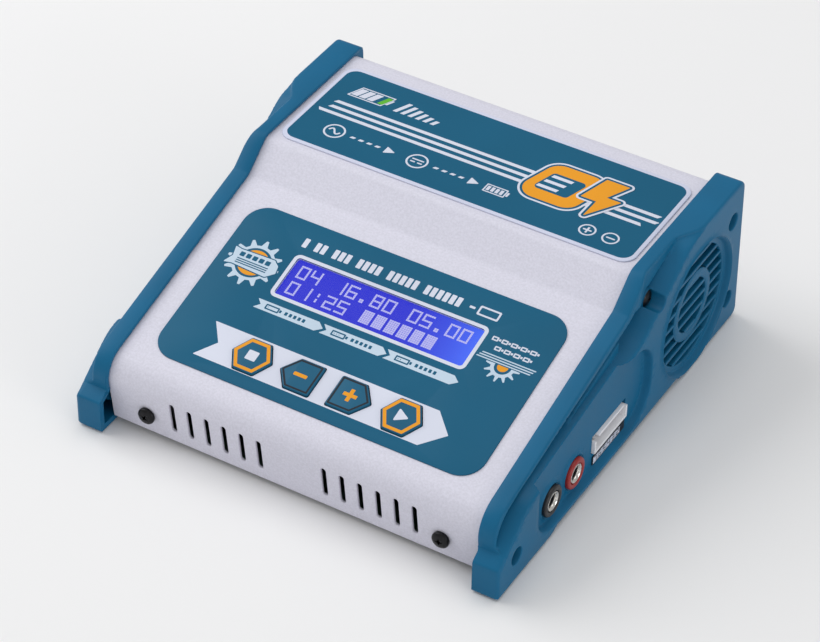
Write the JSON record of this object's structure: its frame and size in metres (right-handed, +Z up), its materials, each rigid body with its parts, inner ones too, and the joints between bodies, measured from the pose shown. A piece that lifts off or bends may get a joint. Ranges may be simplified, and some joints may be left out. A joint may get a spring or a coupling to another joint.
{
  "type": "balance battery charger",
  "caption": "Desktop battery charger with a sloped keypad deck, a small display, finned fan grille, output sockets and a balance port in moulded side panels.",
  "frame": {"origin": "on the surface it rests on, at the middle of its footprint", "axes": "+X to the side with the fan and the output sockets, +Y to the back, +Z up"},
  "size_m": [0.1416, 0.1488, 0.0528],
  "materials": {
    "sheet_paint": "fine textured grey-lavender paint",
    "blue_plastic": "moulded teal-blue plastic with a fine grain",
    "blue_film": "printed polycarbonate film",
    "clear_plastic": "clear window",
    "display": "blue backlit display",
    "steel": "zinc plated sheet",
    "black_screw": "black oxide",
    "contact_metal": "nickel plated brass",
    "aluminium": "extruded",
    "circuit_board": "green solder mask",
    "black_plastic": "moulded black plastic",
    "red_plastic": "moulded red plastic",
    "white_plastic": "moulded white plastic",
    "copper": "enamelled copper wire",
    "ferrite": "sintered ferrite"
  },
  "bodies": {
    "housing": {"top_cover": "sheet_paint", "base_plate": "steel", "right_panel": "blue_plastic", "left_panel": "blue_plastic", "keypad_overlay": "blue_film", "display_window": "clear_plastic", "top_label": "blue_film", "display_frame": "steel", "display_glass": "display", "display_board": "circuit_board", "key_board": "circuit_board", "key_switch_1": "black_plastic", "key_switch_2": "black_plastic", "key_switch_3": "black_plastic", "key_switch_4": "black_plastic", "supply_board": "circuit_board", "charger_board": "circuit_board", "mains_capacitor": "black_plastic", "transformer_core": "ferrite", "transformer_coil": "copper", "line_choke": "copper", "supply_heatsink": "aluminium", "supply_transistor": "black_plastic", "output_capacitor": "black_plastic", "charger_heatsink": "aluminium", "charger_transistor": "black_plastic", "buzzer": "black_plastic", "controller_chip": "black_plastic", "fan_frame": "black_plastic", "black_socket": "black_plastic", "black_socket_contact": "contact_metal", "red_socket": "red_plastic", "red_socket_contact": "contact_metal", "balance_port": "white_plastic", "balance_pins": "contact_metal", "port_strip": "blue_film", "mains_inlet": "black_plastic", "mains_pins": "contact_metal", "dc_jack": "black_plastic", "dc_jack_pin": "contact_metal", "sensor_port": "white_plastic", "sensor_pins": "contact_metal", "front_screw_left": "black_screw", "back_screw_left": "black_screw", "rail_screw_left": "black_screw", "toe_screw_left": "black_screw", "heel_screw_left": "black_screw", "top_screw_left": "black_screw", "front_screw_right": "black_screw", "back_screw_right": "black_screw", "rail_screw_right": "black_screw", "toe_screw_right": "black_screw", "heel_screw_right": "black_screw", "top_screw_right": "black_screw"},
    "fan": {"fan_rotor": "black_plastic"},
    "key_stop": {"key_stop": "blue_film"},
    "key_down": {"key_down": "blue_film"},
    "key_up": {"key_up": "blue_film"},
    "key_start": {"key_start": "blue_film"}
  },
  "joints": [
    {"name": "key_stop_press", "type": "slide", "parent": "housing", "child": "key_stop", "axis": [0, 0.2644, -0.9644], "range_m": [0, 0.0005], "stiffness_N_per_m": 4000, "springref_m": -0.0002},
    {"name": "key_down_press", "type": "slide", "parent": "housing", "child": "key_down", "axis": [0, 0.2644, -0.9644], "range_m": [0, 0.0005], "stiffness_N_per_m": 4000, "springref_m": -0.0002},
    {"name": "key_up_press", "type": "slide", "parent": "housing", "child": "key_up", "axis": [0, 0.2644, -0.9644], "range_m": [0, 0.0005], "stiffness_N_per_m": 4000, "springref_m": -0.0002},
    {"name": "key_start_press", "type": "slide", "parent": "housing", "child": "key_start", "axis": [0, 0.2644, -0.9644], "range_m": [0, 0.0005], "stiffness_N_per_m": 4000, "springref_m": -0.0002},
    {"name": "fan_spin", "type": "hinge", "parent": "housing", "child": "fan", "pos_m": [0.0583, 0.04395, 0.0228], "axis": [1, 0, 0], "continuous": true}
  ]
}
